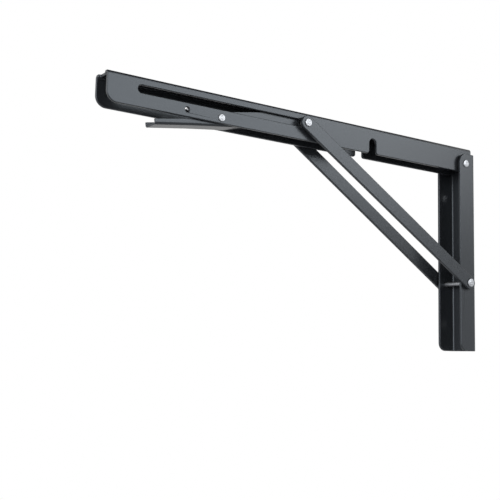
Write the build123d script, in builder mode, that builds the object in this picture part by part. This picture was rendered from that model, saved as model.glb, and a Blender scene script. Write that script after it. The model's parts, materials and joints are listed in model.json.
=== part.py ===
from build123d import *
import os
from math import acos, atan2, cos, degrees, pi, radians, sin, sqrt, tan

# Folding shelf bracket, shelf arm level and locked.
# X runs out from the wall, Y across the bracket, Z up. The origin lies on the wall plate's back face.
# All sizes are in millimetres.

os.makedirs("parts", exist_ok=True)

# Main sizes
arm_length = 400.0          # wall to free end
arm_height = 24.5
arm_width = 21.6
plate_height = 194.5
plate_depth = 21.0
sheet = 2.5                 # both big channels
lever_sheet = 1.5
bar_width = 12.7
bar_thickness = 3.0
bar_centres = 236.5         # hole to hole, seen square to the bracket

# Clearances, and washers between the sheets
running = 0.05              # radial, pin in its own hole
side_play = 0.05            # along a pin, on each side of a washer
cheek_play = 0.3            # lever cheek to arm cheek, and pin to slot end
bar_play = 0.12             # along a pin, beside a bar, which leans a little
arm_washer_t = 1.6
brace_washer_t = 0.9
spacer_t = 2.0              # sleeve between an arm cheek and a bar
wall_gap = 0.5              # arm's wall end to the wall

# Pivots: distances from the wall, and below the arm's top face
arm_above_plate = 6.7       # arm's top face over the top of the wall plate
arm_pivot_x = 12.8
arm_pivot_depth = 16.8
brace_pivot_x = 11.9
pivot_spacing = 118.5       # arm pivot down to brace pivot
slot_depth = 10.05          # slot's middle line
lever_x = 297.9
lever_depth = 19.9

# Pins, heads and washers
pivot_pin_d = 5.0
slide_pin_d = 6.0
lever_pin_d = 4.5
arm_head_d = 7.4
brace_head_d = 8.2
slide_head_d = 7.0
lever_head_d = 6.2
head_height = 1.3
head_bevel = 0.6
bend_inside = 0.3           # inside radius of the bends

# Sizes that follow
arm_top = plate_height / 2 + arm_above_plate
arm_pivot_z = arm_top - arm_pivot_depth
brace_pivot_z = arm_pivot_z - pivot_spacing
slot_z = arm_top - slot_depth
lever_z = arm_top - lever_depth
plate_inner = arm_width / 2 + arm_washer_t + 2 * side_play
plate_width = 2 * (plate_inner + sheet)
arm_inner = arm_width / 2 - sheet
# Inner faces of the bars: at the wall plate, and nearer together at the arm
low_inner = plate_width / 2 + side_play + brace_washer_t + bar_play
high_inner = arm_width / 2 + side_play + spacer_t + bar_play
low_outer = low_inner + bar_thickness
slide_x = brace_pivot_x + sqrt(bar_centres**2 - (slot_z - brace_pivot_z) ** 2)
bar_angle = degrees(atan2(slot_z - brace_pivot_z, slide_x - brace_pivot_x))
# With the arm down, the slide pin has run along the slot to this place
folded_drop = arm_pivot_x + slot_z - arm_pivot_z - brace_pivot_x
slide_end_x = arm_pivot_x + pivot_spacing + sqrt(bar_centres**2 - folded_drop**2)
slot_height = slide_pin_d + 0.4
lever_half = arm_inner - cheek_play
lever_inner = lever_half - lever_sheet

# Wall plate: channel, open away from the wall
plate_hole_d = 5.5
plate_hole_spacing = 65.0
plate_hole_middle = -5.0    # middle hole, from half height
plate_top_round = 9.0
plate_bottom_round = 8.0

with BuildPart() as wall_plate:
    with BuildSketch(Plane.XY.offset(-plate_height / 2)):
        Rectangle(plate_depth, plate_width, align=(Align.MIN, Align.CENTER))
        with Locations((sheet, 0)):
            Rectangle(plate_depth, 2 * plate_inner, align=(Align.MIN, Align.CENTER), mode=Mode.SUBTRACT)
    extrude(amount=plate_height)
    # Bends: outside corners first, then the inside ones
    uprights = wall_plate.edges().filter_by(Axis.Z).sort_by(Axis.X)
    fillet(uprights[:2], radius=bend_inside + sheet)
    inside_corners = wall_plate.edges().filter_by(Axis.Z).filter_by(
        lambda e: abs(e.center().X - sheet) < 0.01 and abs(abs(e.center().Y) - plate_inner) < 0.01
    )
    fillet(inside_corners, radius=bend_inside)
    # Free corners of both flanges
    free_corners = wall_plate.edges().filter_by(Axis.Y).group_by(Axis.X)[-1]
    fillet(free_corners.filter_by(lambda e: e.center().Z > 0), radius=plate_top_round)
    free_corners = wall_plate.edges().filter_by(Axis.Y).group_by(Axis.X)[-1]
    fillet(free_corners, radius=plate_bottom_round)
    # Screw holes in the web
    with BuildSketch(Plane.YZ):
        with Locations((0, plate_hole_middle)):
            with GridLocations(0, plate_hole_spacing, 1, 3):
                Circle(plate_hole_d / 2)
    extrude(amount=sheet, mode=Mode.SUBTRACT)
    # Pivot holes in both flanges
    with BuildSketch(Plane.XZ):
        with Locations((arm_pivot_x, arm_pivot_z), (brace_pivot_x, brace_pivot_z)):
            Circle(pivot_pin_d / 2 + running)
    extrude(amount=plate_width, both=True, mode=Mode.SUBTRACT)

wall_plate.part.label = "wall_plate"
export_step(wall_plate.part, "parts/wall_plate.step")

# Shelf arm: channel, open downwards, slotted on both cheeks
arm_end_round = 9.0
web_setback = 2.0           # the web ends short of the cheeks at the free end
web_setback_width = 11.0
web_setback_round = 0.9
arm_start_x = wall_gap
arm_swing_r = arm_height - (arm_top - arm_pivot_z)
slot_start_x = slide_x - cheek_play
slot_spare = 2.9            # slot runs on past the pin's folded place
slot_end_x = slide_end_x + cheek_play + slot_spare
notch_x = arm_pivot_x + pivot_spacing + 1.3
notch_width = 8.8
notch_top = arm_top - 10.5
notch_mouth_round = 2.5
shelf_hole_d = 5.5
shelf_hole_x = [50.0, 165.0, arm_length - 15.0]
spring_hole_d = 4.0
spring_hole_x = 330.2
spring_hole_z = arm_top - 18.7
step_gap = 0.6              # arm over the top of the plate's web
step_z = plate_height / 2 + step_gap

with BuildPart() as shelf_arm:
    with BuildSketch(Plane.YZ.offset(arm_start_x)):
        with Locations((0, arm_top)):
            Rectangle(arm_width, arm_height, align=(Align.CENTER, Align.MAX))
        with Locations((0, arm_top - sheet)):
            Rectangle(2 * arm_inner, arm_height, align=(Align.CENTER, Align.MAX), mode=Mode.SUBTRACT)
    extrude(amount=arm_length - arm_start_x)
    lengthwise = shelf_arm.edges().filter_by(Axis.X)
    fillet(lengthwise.group_by(Axis.Z)[-1], radius=bend_inside + sheet)
    inside_corners = shelf_arm.edges().filter_by(Axis.X).filter_by(
        lambda e: abs(e.center().Z - arm_top + sheet) < 0.01 and abs(abs(e.center().Y) - arm_inner) < 0.01
    )
    fillet(inside_corners, radius=bend_inside)
    # Lower corners of the free end
    free_end = shelf_arm.edges().filter_by(Axis.Y).group_by(Axis.X)[-1]
    fillet(free_end.group_by(Axis.Z)[0], radius=arm_end_round)
    # The web's free end, set back between the bends
    with BuildSketch(Plane.XY.offset(arm_top)):
        with Locations((arm_length - web_setback, 0)):
            Rectangle(2 * web_setback, web_setback_width, align=(Align.MIN, Align.CENTER))
    extrude(amount=-sheet, mode=Mode.SUBTRACT)
    setback_corners = shelf_arm.edges().filter_by(Axis.Z).filter_by(
        lambda e: e.center().X > arm_length - web_setback - 0.1
        and abs(abs(e.center().Y) - web_setback_width / 2) < 0.01
    )
    fillet(setback_corners, radius=web_setback_round)
    # Wall end: stepped over the plate's web, and round about the arm pivot below
    with BuildSketch(Plane.XZ):
        with BuildLine():
            Polyline(
                (0, step_z),
                (arm_pivot_x - arm_swing_r, step_z),
                (arm_pivot_x - arm_swing_r, arm_pivot_z),
            )
            RadiusArc(
                (arm_pivot_x - arm_swing_r, arm_pivot_z),
                (arm_pivot_x, arm_pivot_z - arm_swing_r),
                -arm_swing_r,
            )
            Polyline(
                (arm_pivot_x, arm_pivot_z - arm_swing_r),
                (arm_pivot_x, arm_pivot_z - 2 * arm_swing_r),
                (0, arm_pivot_z - 2 * arm_swing_r),
                (0, step_z),
            )
        make_face()
    extrude(amount=arm_width, both=True, mode=Mode.SUBTRACT)
    # Slots, notches and pivot holes through both cheeks
    with BuildSketch(Plane.XZ):
        with Locations(((slot_start_x + slot_end_x) / 2, slot_z)):
            SlotCenterToCenter(slot_end_x - slot_start_x, slot_height)
        with Locations((arm_pivot_x, arm_pivot_z)):
            Circle(pivot_pin_d / 2 + running)
        with Locations((lever_x, lever_z)):
            Circle(lever_pin_d / 2 + running)
    extrude(amount=arm_width, both=True, mode=Mode.SUBTRACT)
    with BuildSketch(Plane.XZ):
        with Locations((notch_x, notch_top - notch_width / 2)):
            Circle(notch_width / 2)
            Rectangle(notch_width, arm_height, align=(Align.CENTER, Align.MAX))
    extrude(amount=arm_width, both=True, mode=Mode.SUBTRACT)
    mouth = shelf_arm.edges().filter_by(Axis.Y).filter_by(
        lambda e: abs(e.center().Z - arm_top + arm_height) < 0.01
        and abs(abs(e.center().X - notch_x) - notch_width / 2) < 0.01
    )
    fillet(mouth, radius=notch_mouth_round)
    # Spring hole in the front cheek only
    with BuildSketch(Plane.XZ.offset(-arm_inner)):
        with Locations((spring_hole_x, spring_hole_z)):
            Circle(spring_hole_d / 2)
    extrude(amount=-sheet, mode=Mode.SUBTRACT)
    # Shelf screw holes in the web
    with BuildSketch(Plane.XY.offset(arm_top)):
        with Locations(*[(x, 0) for x in shelf_hole_x]):
            Circle(shelf_hole_d / 2)
    extrude(amount=-sheet, mode=Mode.SUBTRACT)

shelf_arm.part.label = "shelf_arm"
export_step(shelf_arm.part, "parts/shelf_arm.step")

# Brace bars: flat, with full round ends, leaning together towards the arm. Their holes run square to the bracket.
bar_start = Vector(brace_pivot_x, low_inner, brace_pivot_z)
bar_run = Vector(slide_x, high_inner, slot_z) - bar_start
bar_plane = Plane(
    origin=bar_start,
    x_dir=bar_run,
    z_dir=bar_run.cross(Vector(sin(radians(bar_angle)), 0, -cos(radians(bar_angle)))),
)

with BuildPart() as brace_bar_front:
    with BuildSketch(bar_plane):
        with Locations((bar_run.length / 2, 0)):
            SlotCenterToCenter(bar_run.length, bar_width)
    extrude(amount=bar_thickness)
    with BuildSketch(Plane.XZ):
        with Locations((brace_pivot_x, brace_pivot_z), (slide_x, slot_z)):
            Circle(pivot_pin_d / 2 + running)
    extrude(amount=-(low_outer + bar_thickness), mode=Mode.SUBTRACT)

brace_bar_front.part.label = "brace_bar_front"
export_step(brace_bar_front.part, "parts/brace_bar_front.step")

with BuildPart() as brace_bar_rear:
    mirror(brace_bar_front.part, about=Plane.XZ)

brace_bar_rear.part.label = "brace_bar_rear"
export_step(brace_bar_rear.part, "parts/brace_bar_rear.step")


# Rivet section, drawn on one side of its axis: x is the radius, y runs along the axis.
# half is the distance from the middle to the face that the head bears on.
def rivet_section(shank_d, head_d, half):
    top = half + head_height
    return [
        (0, 0),
        (shank_d / 2, 0),
        (shank_d / 2, half),
        (head_d / 2, half),
        (head_d / 2, top),
        (0, top),
    ]


# Arm pivot rivet, across both flanges
with BuildPart() as arm_pivot_rivet:
    with BuildSketch(Plane(origin=(arm_pivot_x, 0, arm_pivot_z), x_dir=(1, 0, 0), z_dir=(0, 0, 1))):
        with BuildLine():
            Polyline(*rivet_section(pivot_pin_d, arm_head_d, plate_width / 2), close=True)
        make_face()
    revolve(axis=Axis((arm_pivot_x, 0, arm_pivot_z), (0, 1, 0)))
    head_rims = arm_pivot_rivet.edges().filter_by(GeomType.CIRCLE).group_by(SortBy.RADIUS)[-1]
    chamfer(head_rims.sort_by(Axis.Y)[-1], length=head_bevel)
    mirror(about=Plane.XZ)

arm_pivot_rivet.part.label = "arm_pivot_rivet"
export_step(arm_pivot_rivet.part, "parts/arm_pivot_rivet.step")

# Brace pivot rivet, across the flanges and both bars
with BuildPart() as brace_pivot_rivet:
    with BuildSketch(Plane(origin=(brace_pivot_x, 0, brace_pivot_z), x_dir=(1, 0, 0), z_dir=(0, 0, 1))):
        with BuildLine():
            Polyline(*rivet_section(pivot_pin_d, brace_head_d, low_outer + bar_play), close=True)
        make_face()
    revolve(axis=Axis((brace_pivot_x, 0, brace_pivot_z), (0, 1, 0)))
    head_rims = brace_pivot_rivet.edges().filter_by(GeomType.CIRCLE).group_by(SortBy.RADIUS)[-1]
    chamfer(head_rims.sort_by(Axis.Y)[-1], length=head_bevel)
    mirror(about=Plane.XZ)

brace_pivot_rivet.part.label = "brace_pivot_rivet"
export_step(brace_pivot_rivet.part, "parts/brace_pivot_rivet.step")

# Lever rivet, across the arm's cheeks
with BuildPart() as lever_rivet:
    with BuildSketch(Plane(origin=(lever_x, 0, lever_z), x_dir=(1, 0, 0), z_dir=(0, 0, 1))):
        with BuildLine():
            Polyline(*rivet_section(lever_pin_d, lever_head_d, arm_width / 2), close=True)
        make_face()
    revolve(axis=Axis((lever_x, 0, lever_z), (0, 1, 0)))
    head_rims = lever_rivet.edges().filter_by(GeomType.CIRCLE).group_by(SortBy.RADIUS)[-1]
    chamfer(head_rims.sort_by(Axis.Y)[-1], length=head_bevel)
    mirror(about=Plane.XZ)

lever_rivet.part.label = "lever_rivet"
export_step(lever_rivet.part, "parts/lever_rivet.step")

# Washers between the arm's cheeks and the wall plate's flanges
arm_washer_d = 12.0

with BuildPart() as arm_washer_front:
    with BuildSketch(Plane.XZ.offset(-(arm_width / 2 + side_play))):
        with Locations((arm_pivot_x, arm_pivot_z)):
            Circle(arm_washer_d / 2)
            Circle(pivot_pin_d / 2 + running, mode=Mode.SUBTRACT)
    extrude(amount=-arm_washer_t)

arm_washer_front.part.label = "arm_washer_front"
export_step(arm_washer_front.part, "parts/arm_washer_front.step")

with BuildPart() as arm_washer_rear:
    mirror(arm_washer_front.part, about=Plane.XZ)

arm_washer_rear.part.label = "arm_washer_rear"
export_step(arm_washer_rear.part, "parts/arm_washer_rear.step")

# Washers between the wall plate's flanges and the brace bars
brace_washer_d = 9.0

with BuildPart() as brace_washer_front:
    with BuildSketch(Plane.XZ.offset(-(plate_width / 2 + side_play))):
        with Locations((brace_pivot_x, brace_pivot_z)):
            Circle(brace_washer_d / 2)
            Circle(pivot_pin_d / 2 + running, mode=Mode.SUBTRACT)
    extrude(amount=-brace_washer_t)

brace_washer_front.part.label = "brace_washer_front"
export_step(brace_washer_front.part, "parts/brace_washer_front.step")

with BuildPart() as brace_washer_rear:
    mirror(brace_washer_front.part, about=Plane.XZ)

brace_washer_rear.part.label = "brace_washer_rear"
export_step(brace_washer_rear.part, "parts/brace_washer_rear.step")

# Slide pins: one in each cheek's slot, from the cheek's inner face to the bar's inner face
with BuildPart() as slide_pin_front:
    with BuildSketch(Plane.XZ.offset(-arm_inner)):
        with Locations((slide_x, slot_z)):
            Circle(slide_pin_d / 2)
    extrude(amount=-(high_inner - bar_play - arm_inner))

slide_pin_front.part.label = "slide_pin_front"
export_step(slide_pin_front.part, "parts/slide_pin_front.step")

with BuildPart() as slide_pin_rear:
    mirror(slide_pin_front.part, about=Plane.XZ)

slide_pin_rear.part.label = "slide_pin_rear"
export_step(slide_pin_rear.part, "parts/slide_pin_rear.step")

# Sleeves that keep the bars off the arm's cheeks
spacer_d = 9.6

with BuildPart() as slide_spacer_front:
    with BuildSketch(Plane.XZ.offset(-(arm_width / 2 + side_play))):
        with Locations((slide_x, slot_z)):
            Circle(spacer_d / 2)
            Circle(slide_pin_d / 2 + running, mode=Mode.SUBTRACT)
    extrude(amount=-spacer_t)

slide_spacer_front.part.label = "slide_spacer_front"
export_step(slide_spacer_front.part, "parts/slide_spacer_front.step")

with BuildPart() as slide_spacer_rear:
    mirror(slide_spacer_front.part, about=Plane.XZ)

slide_spacer_rear.part.label = "slide_spacer_rear"
export_step(slide_spacer_rear.part, "parts/slide_spacer_rear.step")

# Riveted ends of the slide pin, held in the bars
with BuildPart() as slide_head_front:
    with BuildSketch(Plane(origin=(slide_x, high_inner, slot_z), x_dir=(1, 0, 0), z_dir=(0, 0, 1))):
        with BuildLine():
            Polyline(*rivet_section(pivot_pin_d, slide_head_d, bar_thickness + bar_play), close=True)
        make_face()
    revolve(axis=Axis((slide_x, 0, slot_z), (0, 1, 0)))
    head_rims = slide_head_front.edges().filter_by(GeomType.CIRCLE).group_by(SortBy.RADIUS)[-1]
    chamfer(head_rims.sort_by(Axis.Y)[-1], length=head_bevel)

slide_head_front.part.label = "slide_head_front"
export_step(slide_head_front.part, "parts/slide_head_front.step")

with BuildPart() as slide_head_rear:
    mirror(slide_head_front.part, about=Plane.XZ)

slide_head_rear.part.label = "slide_head_rear"
export_step(slide_head_rear.part, "parts/slide_head_rear.step")

# Release lever: channel with its web below, tilted about its rivet.
# Its outline is drawn on a tilted plane: x runs out along the lever, y square to it, from the rivet.
lever_tilt = 10.0
lever_bend_inside = 0.4
tail_end = 60.5
tail_top = 0.2
tail_bottom = -4.2
body_top = 5.5
body_start = 6.0
body_ramp = 10.0
web_arc = 30.0              # the web's underside is straight runs joined by arcs of this radius
waist_x = 24.0              # its corners: at the tail's root, and in the middle of the body
waist = -5.2
belly_x = -12.0
belly = -6.8
web_end_x = -46.0           # web's inner end, where the cheeks run on alone
web_end = -5.65
nose_gap = 0.7              # nose under the arm's web
nose_height = 13.4
tilt = radians(lever_tilt)


# From arm directions, measured from the rivet, to the lever's own x and y, and back
def on_lever(along, up):
    return (along * cos(tilt) - up * sin(tilt), along * sin(tilt) + up * cos(tilt))


def on_arm(x, y):
    return (x * cos(tilt) + y * sin(tilt), y * cos(tilt) - x * sin(tilt))


# The nose stops just short of the slide pin, on an arc about the lever's own rivet
nose_radius = sqrt((lever_x - slide_x) ** 2 + (lever_z - slot_z) ** 2) - slide_pin_d / 2 - cheek_play
nose_top = arm_top - sheet - nose_gap - lever_z
nose_bottom = nose_top - nose_height
nose_mid = (nose_top + nose_bottom) / 2
upper = on_lever(-sqrt(nose_radius**2 - nose_top**2), nose_top)
middle = on_lever(-sqrt(nose_radius**2 - nose_mid**2), nose_mid)
lower = on_lever(-sqrt(nose_radius**2 - nose_bottom**2), nose_bottom)
knee = on_lever((body_top / cos(tilt) - nose_top) / tan(tilt), nose_top)
web_line = [(tail_end, tail_bottom), (waist_x, waist), (belly_x, belly), (web_end_x, web_end)]
web_inside = [(x, y + lever_sheet) for x, y in web_line]
lever_plane = Plane(
    origin=(lever_x, 0, lever_z),
    x_dir=(cos(tilt), 0, -sin(tilt)),
    z_dir=(0, -1, 0),
)

with BuildPart() as release_lever:
    with BuildSketch(lever_plane):
        with BuildLine():
            Polyline(
                upper,
                knee,
                (body_start, body_top),
                (body_start + body_ramp, tail_top),
                (tail_end, tail_top),
                (tail_end, tail_bottom),
            )
            FilletPolyline(*web_line, lower, radius=web_arc)
            ThreePointArc(lower, middle, upper)
        make_face()
    extrude(amount=lever_half, both=True)
    # Outer bends along the web
    underside = release_lever.faces().filter_by(lambda f: f.normal_at(f.center()).Z < -0.8)
    web_edges = underside.edges().filter_by(lambda e: abs(e.center().Y) > lever_half - 0.01)
    fillet(web_edges, radius=lever_bend_inside + lever_sheet)
    # Room between the cheeks, above the web and inward of its end
    with BuildSketch(lever_plane):
        with BuildLine():
            FilletPolyline(*web_inside, radius=web_arc)
            Polyline(
                web_inside[-1],
                (web_end_x, lower[1] - lever_sheet),
                (lower[0] - nose_height, lower[1] - lever_sheet),
                (lower[0] - nose_height, upper[1] + nose_height),
                (tail_end + lever_sheet, upper[1] + nose_height),
                (tail_end + lever_sheet, tail_bottom + lever_sheet),
                web_inside[0],
            )
        make_face()
    extrude(amount=lever_inner, both=True, mode=Mode.SUBTRACT)
    # Rivet holes in both cheeks
    with BuildSketch(lever_plane):
        Circle(lever_pin_d / 2 + running)
    extrude(amount=lever_half, both=True, mode=Mode.SUBTRACT)

release_lever.part.label = "release_lever"
export_step(release_lever.part, "parts/release_lever.step")

# Lever spring: coils on the lever rivet, one leg in the arm's small hole, one on the lever's web
wire_d = 1.2
wire_gap = 0.2              # between turns
web_gap = 0.1               # leg over the lever's web
coil_r = 3.3
coil_pitch = wire_d + wire_gap
full_turns = 3
short_leg = 14.0
web_leg_x = 16.0            # where the short leg bears on the web, along the lever
hook_r = 1.6
hook_end_gap = 0.5          # hook's end inside the cheek's outer face
# Angles of the two places where the legs leave the coil, seen from the front, from X towards Z
to_hole = (spring_hole_x - lever_x, spring_hole_z - lever_z)
hole_far = sqrt(to_hole[0] ** 2 + to_hole[1] ** 2)
leave_up = atan2(to_hole[1], to_hole[0]) + acos(coil_r / hole_far)
web_slope = (waist - belly) / (waist_x - belly_x)
web_top = belly + web_slope * (web_leg_x - belly_x) + lever_sheet
to_web = on_arm(web_leg_x, web_top + web_gap + wire_d / 2)
web_far = sqrt(to_web[0] ** 2 + to_web[1] ** 2)
leave_down = atan2(to_web[1], to_web[0]) - acos(coil_r / web_far)
coil_turn = leave_down - leave_up + 2 * pi * (full_turns + 1)
coil_height = coil_pitch * coil_turn / (2 * pi)
drift = coil_pitch / (2 * pi * coil_r)
long_leg = sqrt(hole_far**2 - coil_r**2)
coil_start = Vector(
    lever_x + coil_r * cos(leave_down),
    -coil_height / 2,
    lever_z + coil_r * sin(leave_down),
)
coil_end = Vector(
    lever_x + coil_r * cos(leave_up),
    coil_height / 2,
    lever_z + coil_r * sin(leave_up),
)
leg_tip = coil_start - Vector(sin(leave_down), drift, -cos(leave_down)) * short_leg
leg_corner = coil_end + Vector(sin(leave_up), drift, -cos(leave_up)) * long_leg
hook_end = Vector(leg_corner.X, arm_width / 2 - hook_end_gap, leg_corner.Z)
coil_plane = Plane(
    origin=(lever_x, -coil_height / 2, lever_z),
    x_dir=(cos(leave_down), 0, sin(leave_down)),
    z_dir=(0, 1, 0),
)
coil = coil_plane * Helix(coil_pitch, coil_height, coil_r, mode=Mode.PRIVATE)

with BuildPart() as lever_spring:
    with BuildLine() as spring_line:
        Line(leg_tip, coil_start)
        add(coil)
        FilletPolyline(coil_end, leg_corner, hook_end, radius=hook_r)
    with BuildSketch(Plane(origin=leg_tip, z_dir=coil_start - leg_tip)):
        RegularPolygon(radius=wire_d / 2, side_count=6)
    sweep(path=spring_line.wires()[0], is_frenet=True)

lever_spring.part.label = "lever_spring"
export_step(lever_spring.part, "parts/lever_spring.step")
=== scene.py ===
import json
import math

import bpy
import numpy as np
from mathutils import Matrix, Vector

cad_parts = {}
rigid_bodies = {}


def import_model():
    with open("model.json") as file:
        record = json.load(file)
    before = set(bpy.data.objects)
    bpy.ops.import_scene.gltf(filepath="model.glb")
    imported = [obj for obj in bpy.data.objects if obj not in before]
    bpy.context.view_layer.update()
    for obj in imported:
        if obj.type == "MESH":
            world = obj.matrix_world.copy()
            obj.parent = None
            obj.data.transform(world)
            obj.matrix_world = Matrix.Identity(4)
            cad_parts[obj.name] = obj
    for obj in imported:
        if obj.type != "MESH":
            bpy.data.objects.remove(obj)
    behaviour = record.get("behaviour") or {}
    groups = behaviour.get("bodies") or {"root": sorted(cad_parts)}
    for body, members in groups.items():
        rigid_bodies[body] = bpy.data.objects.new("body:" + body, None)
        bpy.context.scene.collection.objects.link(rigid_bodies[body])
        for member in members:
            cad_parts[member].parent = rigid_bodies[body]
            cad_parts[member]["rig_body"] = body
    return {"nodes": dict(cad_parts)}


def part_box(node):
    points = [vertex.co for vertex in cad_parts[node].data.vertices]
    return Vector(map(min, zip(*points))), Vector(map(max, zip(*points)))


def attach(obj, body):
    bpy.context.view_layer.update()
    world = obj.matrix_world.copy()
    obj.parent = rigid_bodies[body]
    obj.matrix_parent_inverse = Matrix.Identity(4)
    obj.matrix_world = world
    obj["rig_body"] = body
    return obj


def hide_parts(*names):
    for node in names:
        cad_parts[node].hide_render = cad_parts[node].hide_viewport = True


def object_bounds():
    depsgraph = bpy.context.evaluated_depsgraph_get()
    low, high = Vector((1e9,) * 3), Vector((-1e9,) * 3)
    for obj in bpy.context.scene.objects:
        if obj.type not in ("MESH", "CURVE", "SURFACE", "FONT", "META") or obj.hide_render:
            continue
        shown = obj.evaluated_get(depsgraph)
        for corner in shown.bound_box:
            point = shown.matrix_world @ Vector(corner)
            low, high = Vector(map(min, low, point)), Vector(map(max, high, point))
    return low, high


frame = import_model()
CAD_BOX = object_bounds()

bl_info = {
    "name": "Folding shelf bracket",
    "version": (1, 0, 0),
    "blender": (4, 5, 0),
    "location": "View3D > Sidebar > Bracket",
    "description": "Coats, rivets and lights a folding shelf bracket with a two-bar brace",
    "category": "Object",
}

SHEET_PARTS = ("wall_plate", "shelf_arm", "release_lever", "brace_bar_front", "brace_bar_rear")
TWO_HEADED = ("arm_pivot_rivet", "brace_pivot_rivet", "lever_rivet")
ONE_HEADED = ("slide_head_front", "slide_head_rear")

# Sizes that follow the CAD pieces, mm
SHEET = 2.5
SHANK_RADIUS = {"lever_rivet": 2.25}
SHANK_RADIUS_ELSE = 2.5
BORE_RADIUS = {"arm_washer": 2.55, "brace_washer": 2.55, "slide_spacer": 3.05, "slide_pin": 0}
BROKEN_EDGE = 0.12

# The spring, mm: x and z of its hook in the arm's front cheek, how deep the hook's end lies in there, and
# where the short leg bears, from the lever's rivet
HOOK_PLACE = (329.9, 85.5)
HOOK_SUNK = 0.8
BEARING_PLACE = (15.174, -6.083)
COIL_TURNS = 4

# Points of the wire's line that are the short leg alone, and those of the coil that the leg's piece repeats
LEG_POINTS = 2
LEG_OVERLAP = 3

# Edges sharper than this angle are rounded, or shaded as edges
SHARP_ANGLE = math.radians(35)

# Middle of a noise's range, which a material spreads over its own values
NOISE_MIDDLE = (0.3, 0.7)

# Sine of the elevation where the dark ceiling begins, where it is full, and how bright it is there
CEILING = (0.42, 0.62, 0.03)

# Place and size of each soft lamp, m. The cheeks mirror the key to the camera, the fill is past the free end.
LAMPS = {
    "key": ((-0.36, 1.15, 0.59), (1.4, 0.66)),
    "fill": ((2.1, 0.55, 0.34), (2.6, 1.3)),
}


def mm(value):
    """Millimetres to metres."""
    return value / 1000


def linear(hex_colour):
    """An sRGB hex colour as linear RGB: c / 12.92 up to 0.04045, ((c + 0.055) / 1.055) ** 2.4 above."""
    c = np.array([int(hex_colour[i : i + 2], 16) for i in (1, 3, 5)]) / 255
    return tuple(np.where(c <= 0.04045, c / 12.92, ((c + 0.055) / 1.055) ** 2.4).tolist())


def colour_property(name, description, hex_colour):
    """A colour that the sidebar shows, from its sRGB hex value."""
    return bpy.props.FloatVectorProperty(
        name=name, description=description, subtype="COLOR", size=3, min=0, max=1,
        default=linear(hex_colour),
    )


def length_property(name, description, millimetres):
    """A length that the sidebar shows, from its value in millimetres."""
    return bpy.props.FloatProperty(
        name=name, description=description, unit="LENGTH", precision=5, min=0,
        default=mm(millimetres),
    )


class CoatSettings(bpy.types.PropertyGroup):
    """Black coat on the folded sheet, the bars and the lever."""

    colour: colour_property("Coat", "Colour of the powder coat", "#232528")
    # Paler edge colour: partly the coat drawn thin, partly a painted highlight on the rounded cut edges.
    thin_coat_and_highlight_colour: colour_property("Thin coat", "Colour where the coat draws thin over an edge", "#4C4F54")
    edge_round: length_property("Edge rounding", "Radius that stamping and coating leave on cut edges", 0.62)
    lever_edge_round: length_property("Lever edge rounding", "The same on the lever's thinner sheet", 0.35)
    bend_fillet: length_property("Bend fillet", "Radius inside the wall plate's bends", 1.8)
    grain: length_property("Grain", "Spacing of the coat's fine texture", 0.9)
    peel: length_property("Orange peel", "Spacing of the coat's slow waves", 3.2)
    roughness: bpy.props.FloatProperty(
        name="Roughness", description="Mean roughness of the satin coat", min=0, max=1, default=0.3
    )
    bar_roughness: bpy.props.FloatProperty(
        name="Bar roughness", description="The same over the bars' rolled skin", min=0, max=1, default=0.29
    )


class RivetSettings(bpy.types.PropertyGroup):
    """Set heads of the rivets."""

    colour: colour_property("Zinc", "Colour of the bright zinc plating", "#9EA1A5")
    dull_colour: colour_property("Dull zinc", "Colour of the washers and sleeves", "#A9ABAD")
    head_height: length_property("Head height", "From the sheet to the top of a head", 1.3)
    rim_round: length_property("Rim", "Rounding of a head's rim", 0.55)
    dome: length_property("Dome", "Fall of a head's face from its middle to its rim", 0.35)
    dimple: length_property("Dimple", "Depth of the mark in the middle of a head", 0.2)
    dimple_radius: length_property("Dimple radius", "Radius of that mark", 0.75)
    ring_depth: length_property("Ring", "Depth of the ring that the riveting tool rolls in", 0.1)


class SpringSettings(bpy.types.PropertyGroup):
    """Lever spring, wound on the lever's rivet."""

    colour: colour_property("Wire", "Colour of the drawn wire", "#66686C")
    wire: length_property("Wire", "Diameter of the wire", 1.6)
    coil_radius: length_property("Coil radius", "To the middle of the wire", 3.5)
    pitch: length_property("Pitch", "From one turn to the next", 1.8)
    short_leg: length_property("Short leg", "Leg that bears on the lever's web", 14.0)
    hook_bend: length_property("Hook bend", "Radius of the bend into the small hole", 1.6)


class StudioSettings(bpy.types.PropertyGroup):
    """Camera at the photograph's viewing angle, lamps and floor."""

    lens: bpy.props.FloatProperty(name="Lens", description="Focal length, mm", min=1, default=63.394)
    camera_place: bpy.props.FloatVectorProperty(
        name="Camera", description="Camera's place", subtype="TRANSLATION",
        default=(0.67244, 0.59674, -0.10946),
    )
    azimuth: bpy.props.FloatProperty(
        name="Azimuth", description="Turn of the view from -Y towards the wall", subtype="ANGLE",
        default=math.radians(34.665),
    )
    elevation: bpy.props.FloatProperty(
        name="Elevation", description="Upward tilt of the view", subtype="ANGLE",
        default=math.radians(7.066),
    )
    roll: bpy.props.FloatProperty(
        name="Roll", description="Turn of the picture", subtype="ANGLE", default=math.radians(1.241)
    )
    floor_drop: bpy.props.FloatProperty(
        name="Floor", description="Floor below the wall plate", unit="LENGTH", default=0.65
    )
    floor_radius: bpy.props.FloatProperty(
        name="Floor radius", description="Radius of the round floor", unit="LENGTH", default=3.2
    )
    floor_tone: bpy.props.FloatProperty(
        name="Floor tone", description="Paleness of the floor where no lamp falls", default=0.9
    )
    world_light: bpy.props.FloatProperty(
        name="Room light", description="Strength of the white room", default=0.3
    )
    key_light: bpy.props.FloatProperty(
        name="Key", description="Power of the large soft lamp, W", default=14
    )
    fill_light: bpy.props.FloatProperty(
        name="Fill", description="Power of the lamp beyond the free end, W", default=46
    )


# Meshes


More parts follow.
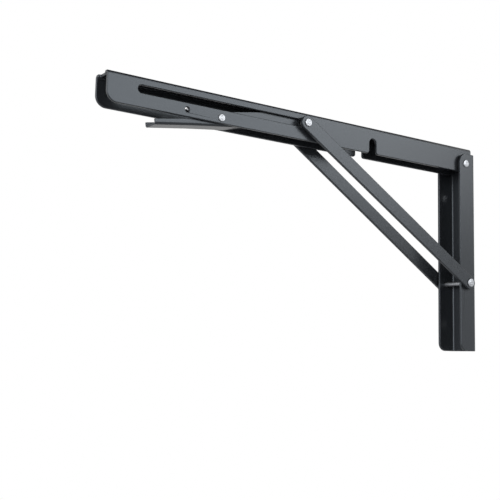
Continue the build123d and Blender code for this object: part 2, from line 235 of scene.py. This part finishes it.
def skin(name, rings, closed=False, start=None, end=None):
    """A mesh over a grid of points. rings[i, j] is point j of ring i. Each ring closes on itself. The last
    ring joins the first when closed, and otherwise a fan joins the end rings to the points start and end.
    Faces point outwards where the way round a ring, crossed with the way along the rings, points outwards.
    The UV map "path" holds the share of a turn, and the length along the first line of points in metres."""
    n, m = rings.shape[:2]
    along = np.concatenate([[0], np.cumsum(np.linalg.norm(np.diff(rings[:, 0], axis=0), axis=1))])
    i, j = np.meshgrid(np.arange(n if closed else n - 1), np.arange(m), indexing="ij")
    rows = np.stack([i, i, i + 1, i + 1], -1).reshape(-1, 4)
    columns = np.stack([j, j + 1, j + 1, j], -1).reshape(-1, 4)
    quads = rows % n * m + columns % m
    points = [rings.reshape(-1, 3)]
    corners, sizes = [quads.ravel()], [np.full(len(quads), 4)]
    seam = np.append(along, along[-1] + np.linalg.norm(rings[0, 0] - rings[-1, 0]))
    us, vs = [columns.ravel() / m], [seam[rows].ravel()]
    around = np.arange(m)
    for pole, ring, order in ((start, 0, (1, 0)), (end, n - 1, (0, 1))):
        if pole is None:
            continue
        points.append(np.asarray(pole, float)[None])
        tip = np.full(m, n * m + len(points) - 2)
        pair = [ring * m + (around + k) % m for k in order]
        corners.append(np.stack([*pair, tip], -1).ravel())
        sizes.append(np.full(m, 3))
        us.append(np.stack([around + order[0], around + order[1], around + 0.5], -1).ravel() / m)
        reach = np.linalg.norm(rings[ring, 0] - pole) * (-1 if ring == 0 else 1)
        vs.append(np.tile([seam[ring], seam[ring], seam[ring] + reach], m))
    points, corners, sizes = np.concatenate(points), np.concatenate(corners), np.concatenate(sizes)
    mesh = bpy.data.meshes.new(name)
    mesh.vertices.add(len(points))
    mesh.vertices.foreach_set("co", points.astype(np.float32).ravel())
    mesh.loops.add(len(corners))
    mesh.loops.foreach_set("vertex_index", corners.astype(np.int32))
    mesh.polygons.add(len(sizes))
    starts = np.concatenate([[0], np.cumsum(sizes)[:-1]])
    mesh.polygons.foreach_set("loop_start", starts.astype(np.int32))
    mesh.polygons.foreach_set("use_smooth", np.ones(len(sizes), bool))
    path = np.stack([np.concatenate(us), np.concatenate(vs)], -1)
    mesh.uv_layers.new(name="path").data.foreach_set("uv", path.astype(np.float32).ravel())
    mesh.update(calc_edges=True)
    mesh.validate()
    mesh.set_sharp_from_angle(angle=SHARP_ANGLE)
    return mesh


def turned(name, profile, centre, steps=64, closed=False):
    """A shape turned about an axis along Y. profile[i] is (radius, y), and the point at angle a is
    (x + radius cos a, y, z - radius sin a). A profile that isn't closed starts and ends on the axis."""
    a = np.linspace(0, 2 * np.pi, steps, endpoint=False)
    radius = profile[:, :1]
    y = np.broadcast_to(profile[:, 1:], (len(profile), steps))
    grid = np.stack([centre.x + radius * np.cos(a), y, centre.z - radius * np.sin(a)], -1)
    if closed:
        return skin(name, grid, closed=True)
    ends = [(centre.x, profile[k, 1], centre.z) for k in (0, -1)]
    return skin(name, grid[1:-1], start=ends[0], end=ends[1])


def place(name, mesh, material, body, stands_for=None):
    """Puts a mesh in the scene as a finished piece that rides on a body, in place of the CAD nodes named."""
    piece = bpy.data.objects.new(name, mesh)
    bpy.context.scene.collection.objects.link(piece)
    mesh.materials.append(material)
    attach(piece, body)
    if stands_for is not None:
        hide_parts(*stands_for)


def middle(node):
    """Middle of a CAD node's box."""
    low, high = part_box(node)
    return (low + high) / 2


# Materials


def add(tree, kind, settings=None, **sockets):
    """Adds a node with its own fields in settings. Each socket, named with _ for a space or by i and its
    number, gets a value or a link."""
    made = tree.nodes.new(kind)
    for field, value in (settings or {}).items():
        setattr(made, field, value)
    for name, value in sockets.items():
        key = int(name[1:]) if name[0] == "i" and name[1:].isdigit() else name.replace("_", " ")
        if isinstance(value, bpy.types.NodeSocket):
            tree.links.new(value, made.inputs[key])
        else:
            made.inputs[key].default_value = value
    return made


def new_material(name):
    """An empty material with nodes, and its tree."""
    material = bpy.data.materials.new(name)
    material.use_nodes = True
    material.node_tree.nodes.clear()
    return material, material.node_tree


def per(length):
    """Scale of a texture whose features repeat at this length, in metres."""
    return 1 / length


def noise(tree, where, length, detail, **more):
    """Noise whose features repeat at a length in metres."""
    made = add(tree, "ShaderNodeTexNoise", Vector=where, Scale=per(length), Detail=detail, **more)
    return made.outputs["Fac"]


def path_noise(tree, where, scale, detail):
    """Noise over the piece's own map, with so many features round it and so many a metre along it."""
    where = add(tree, "ShaderNodeMapping", Vector=where, Scale=(*scale, 1.0)).outputs["Vector"]
    flat = {"noise_dimensions": "2D"}
    return add(tree, "ShaderNodeTexNoise", flat, Vector=where, Scale=1.0, Detail=detail).outputs["Fac"]


def spread(tree, value, low, high, span=NOISE_MIDDLE, settings=None):
    """Takes the span of a value to the range from low to high."""
    return add(
        tree, "ShaderNodeMapRange", settings, Value=value, From_Min=span[0], From_Max=span[1],
        To_Min=low, To_Max=high,
    ).outputs["Result"]


def reckon(tree, operation, one, other):
    """A Math node on two values."""
    return add(tree, "ShaderNodeMath", {"operation": operation}, i0=one, i1=other).outputs["Value"]


def dimmed(tree, colour, factor):
    """A colour times a factor."""
    made = add(tree, "ShaderNodeVectorMath", {"operation": "SCALE"}, i0=colour, Scale=factor)
    return made.outputs["Vector"]


def bump(tree, height, strength, depth, **more):
    """A normal bent by a height."""
    made = add(tree, "ShaderNodeBump", Height=height, Strength=strength, Distance=depth, **more)
    return made.outputs["Normal"]


def finished(material, tree, shader):
    """The material with its shader at the output."""
    add(tree, "ShaderNodeOutputMaterial", Surface=shader)
    return material


def satin_powder_coat(settings, name, coarseness, roughness):
    """Polyester powder coat, sprayed and baked: satin, with a fine grain, slow waves and paler edges, where
    the coat draws thin and a painted highlight stands in for lamps catching the rounded edges. The grain's
    depth and contrast go with its coarseness."""
    material, tree = new_material(name)
    where = add(tree, "ShaderNodeTexCoord").outputs["Object"]
    # Real grain is about 0.3 mm. It is drawn coarser, so that it shows at the render's 1 mm to a pixel.
    grain = noise(tree, where, settings.grain, detail=2.0, Roughness=0.6)
    peel = noise(tree, where, settings.peel, detail=1.0)
    cloud = noise(tree, where, mm(60), detail=2.0)
    # The bend between the true and the rounded normal marks the edges. There the colour turns paler: partly
    # the
    # # coat drawn thin, partly a painted highlight.
    rounded = add(tree, "ShaderNodeBevel", {"samples": 6}, Radius=mm(0.6)).outputs["Normal"]
    true = add(tree, "ShaderNodeNewGeometry").outputs["Normal"]
    flatness = add(
        tree, "ShaderNodeVectorMath", {"operation": "DOT_PRODUCT"}, i0=rounded, i1=true
    ).outputs["Value"]
    # edge: how far each edge turns to the paler colour, the thin coat together with a painted highlight.
    edge = spread(tree, flatness, 0.0, 0.55, span=(1.0, 0.8))
    speck = spread(tree, grain, 1.0 - 0.3 * coarseness, 1.0 + 0.3 * coarseness)
    drift = spread(tree, cloud, 0.94, 1.06)
    tinted = dimmed(tree, settings.colour, reckon(tree, "MULTIPLY", speck, drift))
    coat = add(
        tree, "ShaderNodeMix", {"data_type": "RGBA"}, i0=edge, i6=tinted, i7=(*settings.thin_coat_and_highlight_colour, 1)
    ).outputs[2]
    rough = spread(tree, grain, roughness - 0.04 * coarseness, roughness + 0.08 * coarseness)
    waves = bump(tree, peel, strength=0.35, depth=mm(0.05))
    bumps = bump(tree, grain, strength=0.6 * coarseness, depth=mm(0.05), Normal=waves)
    shader = add(
        tree, "ShaderNodeBsdfPrincipled", Base_Color=coat, Roughness=rough, Normal=bumps, IOR=1.5,
        Specular_IOR_Level=0.4, Specular_Tint=(0.82, 0.91, 1.0, 1.0),
    )
    return finished(material, tree, shader.outputs["BSDF"])


def zinc_plate(name, colour, roughness, mark):
    """Zinc-plated steel: bright metal with fine tool marks at one spacing along the path, and faint cloudy
    patches."""
    material, tree = new_material(name)
    coords = add(tree, "ShaderNodeTexCoord").outputs
    # Tool marks run round the turned piece, so they vary with the length along its profile only.
    marks = path_noise(tree, coords["UV"], (2.0, per(mark)), detail=3.0)
    cloud = noise(tree, coords["Object"], mm(1.6), detail=3.0)
    metal = dimmed(tree, colour, spread(tree, cloud, 0.88, 1.04))
    rough = spread(tree, marks, roughness - 0.06, roughness + 0.1)
    shader = add(
        tree, "ShaderNodeBsdfPrincipled", Base_Color=metal, Roughness=rough, Metallic=1.0,
        Normal=bump(tree, marks, strength=0.3, depth=mm(0.03)),
    )
    return finished(material, tree, shader.outputs["BSDF"])


def drawn_wire(settings):
    """Drawn spring steel wire: dark grey, with faint lines that the die leaves along it."""
    material, tree = new_material("drawn_spring_wire")
    path = add(tree, "ShaderNodeTexCoord").outputs["UV"]
    lines = path_noise(tree, path, (24.0, per(mm(6))), detail=2.0)
    metal = dimmed(tree, settings.colour, spread(tree, lines, 0.85, 1.08))
    rough = spread(tree, lines, 0.2, 0.34)
    shader = add(tree, "ShaderNodeBsdfPrincipled", Base_Color=metal, Roughness=rough, Metallic=1.0)
    return finished(material, tree, shader.outputs["BSDF"])


# Pieces


class BRACKET_OT_coat(bpy.types.Operator):
    """Rounds the cut edges of the sheet parts and coats them"""

    bl_idname = "shelf_bracket.coat"
    bl_label = "Coat the sheet parts"

    def execute(self, context):
        settings = context.scene.bracket_coat
        # The bars are cut from rolled flat bar, whose rougher skin shows through the coat.
        base = "satin_black_powder_coat_on_"
        smooth = satin_powder_coat(settings, base + "sheet", 0.25, settings.roughness)
        grained = satin_powder_coat(settings, base + "bar", 0.9, settings.bar_roughness)
        for name in SHEET_PARTS:
            part = frame["nodes"][name]
            part.material_slots[0].material = grained if name.startswith("brace_bar") else smooth
            join = part.modifiers.new("join", "WELD")
            join.merge_threshold = mm(0.002)
            flat = part.modifiers.new("flat", "DECIMATE")
            flat.decimate_type = "DISSOLVE"
            flat.angle_limit = math.radians(0.5)
            rounding = part.modifiers.new("rounding", "BEVEL")
            rounding.width = settings.lever_edge_round if name == "release_lever" else settings.edge_round
            rounding.use_clamp_overlap = False
            rounding.segments = 2
            rounding.limit_method = "ANGLE"
            rounding.angle_limit = SHARP_ANGLE
            rounding.harden_normals = True
        return {"FINISHED"}


def head_profile(radius, top, settings):
    """Half profile of a set head, from its rim in to the axis, y measured up from the sheet. The face falls
    from its middle as the square of the radius. A bell curve cuts the mark in the middle, and another the
    ring at 0.62 of the radius. The rim is a quarter round."""
    rim = settings.rim_round
    flat = np.linspace(radius - rim, 0, 40)
    share = flat / (radius - rim)
    face = (
        top
        - settings.dome * share**2
        - settings.dimple * np.exp(-((flat / settings.dimple_radius) ** 4))
        - settings.ring_depth * np.exp(-(((flat - 0.62 * radius) / mm(0.22)) ** 2))
    )
    turn = np.radians(np.linspace(0, 90, 9))[:-1]
    quarter = np.stack([radius - rim + rim * np.cos(turn), face[0] - rim + rim * np.sin(turn)], -1)
    return np.concatenate([quarter, np.stack([flat, face], -1)])


class BRACKET_OT_fillets(bpy.types.Operator):
    """Fills the wall plate's two inner bends, where the sheet turns and the coat gathers"""

    bl_idname = "shelf_bracket.fillets"
    bl_label = "Fill the inner bends"

    def execute(self, context):
        settings = context.scene.bracket_coat
        material = bpy.data.materials["satin_black_powder_coat_on_sheet"]
        low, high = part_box("wall_plate")
        sheet, radius = mm(SHEET), settings.bend_fillet
        for side, name in ((1, "wall_bend_fillet_front"), (-1, "wall_bend_fillet_rear")):
            section = fillet_section(radius) * [1, side] + [low.x + sheet, side * (high.y - sheet)]
            if side > 0:
                section = section[::-1]
            # It stops short of the plate's lower edge, and of its rounded upper corners.
            z = np.linspace(low.z + mm(0.6), high.z - mm(9), 24)[:, None]
            grid = np.stack(np.broadcast_arrays(section[:, 0], section[:, 1], z), -1)
            ends = [(*section.mean(axis=0), z[k, 0]) for k in (0, -1)]
            mesh = skin(name, grid, start=ends[0], end=ends[1])
            place(name, mesh, material, "wall")
        return {"FINISHED"}


def fillet_section(radius):
    """Section of a fillet in a corner at the origin that opens towards +x and -y. Its hollow face is the
    quarter circle (r - r sin a, -r + r cos a), and its back is sunk 0.3 mm into the sheet."""
    a = np.radians(np.linspace(0, 90, 13))
    face = np.stack([radius - radius * np.sin(a), -radius + radius * np.cos(a)], -1)
    sunk = mm(0.3)
    back = [[-sunk, -radius], [-sunk, sunk], [radius, sunk]]
    return np.concatenate([face, back])


class BRACKET_OT_rivets(bpy.types.Operator):
    """Turns the set rivets with domed, ringed heads"""

    bl_idname = "shelf_bracket.rivets"
    bl_label = "Make the rivets"

    def execute(self, context):
        settings = context.scene.bracket_rivets
        zinc = zinc_plate("bright_zinc_plated_rivet_steel", settings.colour, 0.4, mm(0.35))
        top, edge = settings.head_height, mm(BROKEN_EDGE)
        for name in (*TWO_HEADED, *ONE_HEADED):
            low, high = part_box(name)
            radius = (high.x - low.x) / 2
            shank = mm(SHANK_RADIUS.get(name, SHANK_RADIUS_ELSE))
            # From the sheet: shank, bearing face, then the head. y = 0 is the sheet's face.
            neck = np.array([[shank, 0], [radius - edge, 0], [radius, edge]])
            half = np.concatenate([neck, head_profile(radius, top, settings)])
            if name in TWO_HEADED:
                face = high.y - top
                rear = (half * [1, -1] - [0, face])[::-1]
                profile = np.concatenate([rear, half + [0, face]])
            else:
                inner, outer = sorted((abs(low.y), abs(high.y)))
                profile = np.concatenate([[[0, inner], [shank, inner]], half + [0, outer - top]])
                if high.y <= 0:
                    profile = (profile * [1, -1])[::-1]
            mesh = turned(name + "_set", profile, middle(name))
            place(name + "_set", mesh, zinc, frame["nodes"][name]["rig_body"], [name])
        return {"FINISHED"}


class BRACKET_OT_rings(bpy.types.Operator):
    """Turns the washers, sleeves and slide pins with broken edges"""

    bl_idname = "shelf_bracket.rings"
    bl_label = "Make washers, sleeves and pins"

    def execute(self, context):
        settings = context.scene.bracket_rivets
        dull = zinc_plate("dull_zinc_plated_washer_steel", settings.dull_colour, 0.38, mm(0.3))
        edge = mm(BROKEN_EDGE)
        for name, bore in BORE_RADIUS.items():
            for node in (name + "_front", name + "_rear"):
                low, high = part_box(node)
                outer, inner = (high.x - low.x) / 2, mm(bore)
                bevelled = [low.y, low.y + edge, high.y - edge, high.y]
                profile = np.stack([[outer - edge, outer, outer, outer - edge], bevelled], -1)
                if bore:
                    bored = np.stack([[inner + edge, inner, inner, inner + edge], bevelled[::-1]], -1)
                    profile = np.concatenate([profile, bored])
                else:
                    profile = np.concatenate([[[0, low.y]], profile, [[0, high.y]]])
                mesh = turned(node + "_turned", profile, middle(node), closed=bool(bore))
                place(node + "_turned", mesh, dull, frame["nodes"][node]["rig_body"], [node])
        return {"FINISHED"}


class BRACKET_OT_spring(bpy.types.Operator):
    """Winds the lever spring round the lever's rivet"""

    bl_idname = "shelf_bracket.spring"
    bl_label = "Wind the lever spring"

    def execute(self, context):
        settings = context.scene.bracket_spring
        wire = drawn_wire(settings)
        line, tangent, outward = spring_line(settings)
        side = np.cross(tangent, outward)
        b = np.linspace(0, 2 * np.pi, 20, endpoint=False)[None, :, None]
        # The short leg turns with the lever about the coil's axis. So it runs on a little inside the coil,
        # and is a touch thinner.
        coil, leg = slice(LEG_POINTS, None), slice(LEG_POINTS + LEG_OVERLAP)
        for name, body, stretch, share, replaced in (
            ("lever_spring_wound", "arm", coil, 1.0, ["lever_spring"]),
            ("lever_spring_leg", "lever", leg, 0.98, []),
        ):
            core = line[stretch]
            radius = np.full((len(core), 1, 1), settings.wire / 2 * share)
            radius[[0, -1]] *= 0.75
            rings = core[:, None] + radius * (
                np.cos(b) * outward[stretch][:, None] + np.sin(b) * side[stretch][:, None]
            )
            mesh = skin(name, rings, start=core[0], end=core[-1])
            place(name, mesh, wire, body, replaced)
        return {"FINISHED"}


def spring_line(settings):
    """Middle line of the wire, with its unit tangents and the directions square to it that point out of the
    coil. The coil is a helix about the lever rivet, at angle phi from X towards Z, which falls as the wire
    advances. The legs run on along the coil's tangents: one back to the lever's web, one on to the small
    hole in the front cheek, where an arc turns it through the hole. Where the legs leave is the angle of
    the far point, less or plus the arc cosine of the coil's radius over its distance."""
    pivot = np.array(middle("lever_rivet"))
    hole = mm(np.array(HOOK_PLACE)) - pivot[[0, 2]]
    bearing = mm(np.array(BEARING_PLACE))
    radius = settings.coil_radius
    up = math.atan2(hole[1], hole[0]) + math.acos(radius / np.hypot(*hole))
    down = math.atan2(bearing[1], bearing[0]) - math.acos(radius / np.hypot(*bearing))
    total = down - up + 2 * math.pi * COIL_TURNS
    rise = settings.pitch / (2 * math.pi)
    turn = np.linspace(0, total, 168)
    phi = down - turn
    outward = np.stack([np.cos(phi), 0 * phi, np.sin(phi)], -1)
    y = np.stack([0 * phi, rise * (turn - total / 2), 0 * phi], -1)
    coil = pivot * [1, 0, 1] + radius * outward + y
    tangent = np.stack([np.sin(phi), 0 * phi + rise / radius, -np.cos(phi)], -1)
    tip = coil[0] - tangent[0] * settings.short_leg
    corner = coil[-1] + tangent[-1] * math.sqrt(hole @ hole - radius**2)
    tangent /= np.linalg.norm(tangent, axis=1, keepdims=True)
    first, last = tangent[0], tangent[-1]
    through = np.array([0.0, 1.0, 0.0])
    square = through - (through @ last) * last
    square /= np.linalg.norm(square)
    bend = math.acos(through @ last)
    start = corner - last * settings.hook_bend * math.tan(bend / 2)
    psi = np.linspace(0, bend, 12)[:, None]
    arc = start + settings.hook_bend * (np.sin(psi) * last + (1 - np.cos(psi)) * square)
    end = corner * [1, 0, 1] + through * (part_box("shelf_arm")[1].y - mm(HOOK_SUNK))
    cut = mm(BROKEN_EDGE)
    line = np.concatenate([[tip, tip + first * cut], coil, arc, [end - through * cut, end]])
    tangent = np.concatenate(
        [[first, first], tangent, np.cos(psi) * last + np.sin(psi) * square, [through, through]]
    )
    outward = np.concatenate([outward[[0, 0]], outward, outward[[-1] * (len(arc) + 2)]])
    return line, tangent, outward


class BRACKET_OT_stage(bpy.types.Operator):
    """Sets the camera at the photograph's viewing angle, with soft lamps and a plain pale floor"""

    bl_idname = "shelf_bracket.stage"
    bl_label = "Set the stage"

    def execute(self, context):
        scene = context.scene
        settings = scene.bracket_studio
        scene.view_settings.view_transform = "Standard"
        data = bpy.data.cameras.new("photo_camera")
        data.lens = settings.lens
        camera = bpy.data.objects.new("photo_camera", data)
        scene.collection.objects.link(camera)
        camera.matrix_world = view_matrix(settings)
        scene.camera = camera
        room(scene, settings)
        floor(settings)
        for name, power in (("key", settings.key_light), ("fill", settings.fill_light)):
            soft_lamp(name, middle("shelf_arm"), power)
        return {"FINISHED"}


def view_matrix(settings):
    """Camera axes from three angles: it looks along d = (-sin a cos e, -cos a cos e, sin e), with its right
    side along d x Z and its top along right x d, both turned by the roll about d."""
    a, e, r = settings.azimuth, settings.elevation, settings.roll
    look = np.array([-math.sin(a) * math.cos(e), -math.cos(a) * math.cos(e), math.sin(e)])
    right = np.cross(look, (0, 0, 1))
    right /= np.linalg.norm(right)
    top = np.cross(right, look)
    matrix = np.eye(4)
    matrix[:3, 0] = math.cos(r) * right + math.sin(r) * top
    matrix[:3, 1] = -math.sin(r) * right + math.cos(r) * top
    matrix[:3, 2] = -look
    matrix[:3, 3] = settings.camera_place
    return Matrix(matrix.tolist())


def soft_lamp(name, target, power):
    """A rectangular area lamp that faces the target, its first size level and its second upright."""
    at, size = LAMPS[name]
    data = bpy.data.lights.new(name, "AREA")
    data.shape = "RECTANGLE"
    data.size, data.size_y = size
    data.energy = power
    lamp = bpy.data.objects.new(name, data)
    bpy.context.scene.collection.objects.link(lamp)
    lamp.location = at
    lamp.rotation_euler = (target - Vector(at)).to_track_quat("-Z", "Y").to_euler()


def seen_rays(tree):
    """1 for the rays of the camera, of gloss and of glass, 0 for the light that falls on things."""
    path = add(tree, "ShaderNodeLightPath").outputs
    seen = reckon(tree, "MAXIMUM", path["Is Camera Ray"], path["Is Glossy Ray"])
    return reckon(tree, "MAXIMUM", seen, path["Is Transmission Ray"])


def room(scene, settings):
    """White world under a dark ceiling. The camera, gloss and glass see its walls at full white, and its
    light on the object is weaker. The ceiling starts where the sine of the elevation passes CEILING[0], and
    the camera alone sees white there too."""
    world = bpy.data.worlds.new("white_room")
    world.use_nodes = True
    tree = world.node_tree
    tree.nodes.clear()
    strength = spread(tree, seen_rays(tree), settings.world_light, 1.0, span=(0.0, 1.0))
    direction = add(tree, "ShaderNodeTexCoord").outputs["Generated"]
    height = add(tree, "ShaderNodeSeparateXYZ", Vector=direction).outputs["Z"]
    soft = {"interpolation_type": "SMOOTHSTEP"}
    wall = spread(tree, height, 1.0, CEILING[2], span=CEILING[:2], settings=soft)
    camera = add(tree, "ShaderNodeLightPath").outputs["Is Camera Ray"]
    lit = reckon(tree, "MULTIPLY", strength, reckon(tree, "MAXIMUM", wall, camera))
    light = add(tree, "ShaderNodeBackground", Color=(1, 1, 1, 1), Strength=lit)
    add(tree, "ShaderNodeOutputWorld", Surface=light.outputs["Background"])
    scene.world = world


def floor(settings):
    """A round pale floor, below the bracket. Its points are (r cos a, r sin a, z)."""
    level = CAD_BOX[0].z - settings.floor_drop
    a = np.linspace(0, 2 * np.pi, 96, endpoint=False)
    r = np.array([settings.floor_radius, 1.0, 0.2])[:, None]
    rings = np.stack(np.broadcast_arrays(r * np.cos(a), r * np.sin(a), level), -1)
    mesh = skin("floor", rings, end=(0, 0, level))
    material, tree = new_material("matt_paper_floor")
    # Matt card: an even white with a faint mottle of pressed fibres.
    where = add(tree, "ShaderNodeTexCoord").outputs["Object"]
    fibres = noise(tree, where, mm(12), detail=4.0)
    card = dimmed(tree, linear("#F2F2F2"), spread(tree, fibres, 0.97, 1.0))
    paper = add(tree, "ShaderNodeBsdfDiffuse", Color=card).outputs["BSDF"]
    # Half of what is seen is the card's own pale tone, and the other half takes the lamps and the shadow.
    pale = add(tree, "ShaderNodeEmission", Color=card, Strength=settings.floor_tone).outputs["Emission"]
    share = reckon(tree, "MULTIPLY", seen_rays(tree), 0.5)
    both = add(tree, "ShaderNodeMixShader", Fac=share, i1=paper, i2=pale)
    mesh.materials.append(finished(material, tree, both.outputs["Shader"]))
    piece = bpy.data.objects.new("floor", mesh)
    bpy.context.scene.collection.objects.link(piece)


class BRACKET_PT_panel(bpy.types.Panel):
    """Lists the bracket's pieces and their sizes and colours"""

    bl_idname = "BRACKET_PT_panel"
    bl_label = "Shelf bracket"
    bl_space_type = "VIEW_3D"
    bl_region_type = "UI"
    bl_category = "Bracket"

    def draw(self, context):
        for group, operators in GROUPS.items():
            settings = getattr(context.scene, group)
            box = self.layout.box()
            for operator in operators:
                box.operator(operator.bl_idname)
            for name in type(settings).__annotations__:
                box.prop(settings, name)


GROUPS = {
    "bracket_coat": (BRACKET_OT_coat, BRACKET_OT_fillets),
    "bracket_rivets": (BRACKET_OT_rivets, BRACKET_OT_rings),
    "bracket_spring": (BRACKET_OT_spring,),
    "bracket_studio": (BRACKET_OT_stage,),
}
SETTINGS = {
    "bracket_coat": CoatSettings,
    "bracket_rivets": RivetSettings,
    "bracket_spring": SpringSettings,
    "bracket_studio": StudioSettings,
}
CLASSES = (*SETTINGS.values(), *(o for os in GROUPS.values() for o in os), BRACKET_PT_panel)


def register():
    """Registers the classes and gives the scene its settings."""
    for each in CLASSES:
        bpy.utils.register_class(each)
    for name, group in SETTINGS.items():
        setattr(bpy.types.Scene, name, bpy.props.PointerProperty(type=group))


def unregister():
    """Takes back what register did."""
    for name in SETTINGS:
        delattr(bpy.types.Scene, name)
    for each in reversed(CLASSES):
        bpy.utils.unregister_class(each)


def main():
    """Builds the whole bracket through its operators."""
    register()
    bpy.ops.shelf_bracket.coat()
    bpy.ops.shelf_bracket.fillets()
    bpy.ops.shelf_bracket.rivets()
    bpy.ops.shelf_bracket.rings()
    bpy.ops.shelf_bracket.spring()
    bpy.ops.shelf_bracket.stage()


if __name__ == "__main__":
    main()
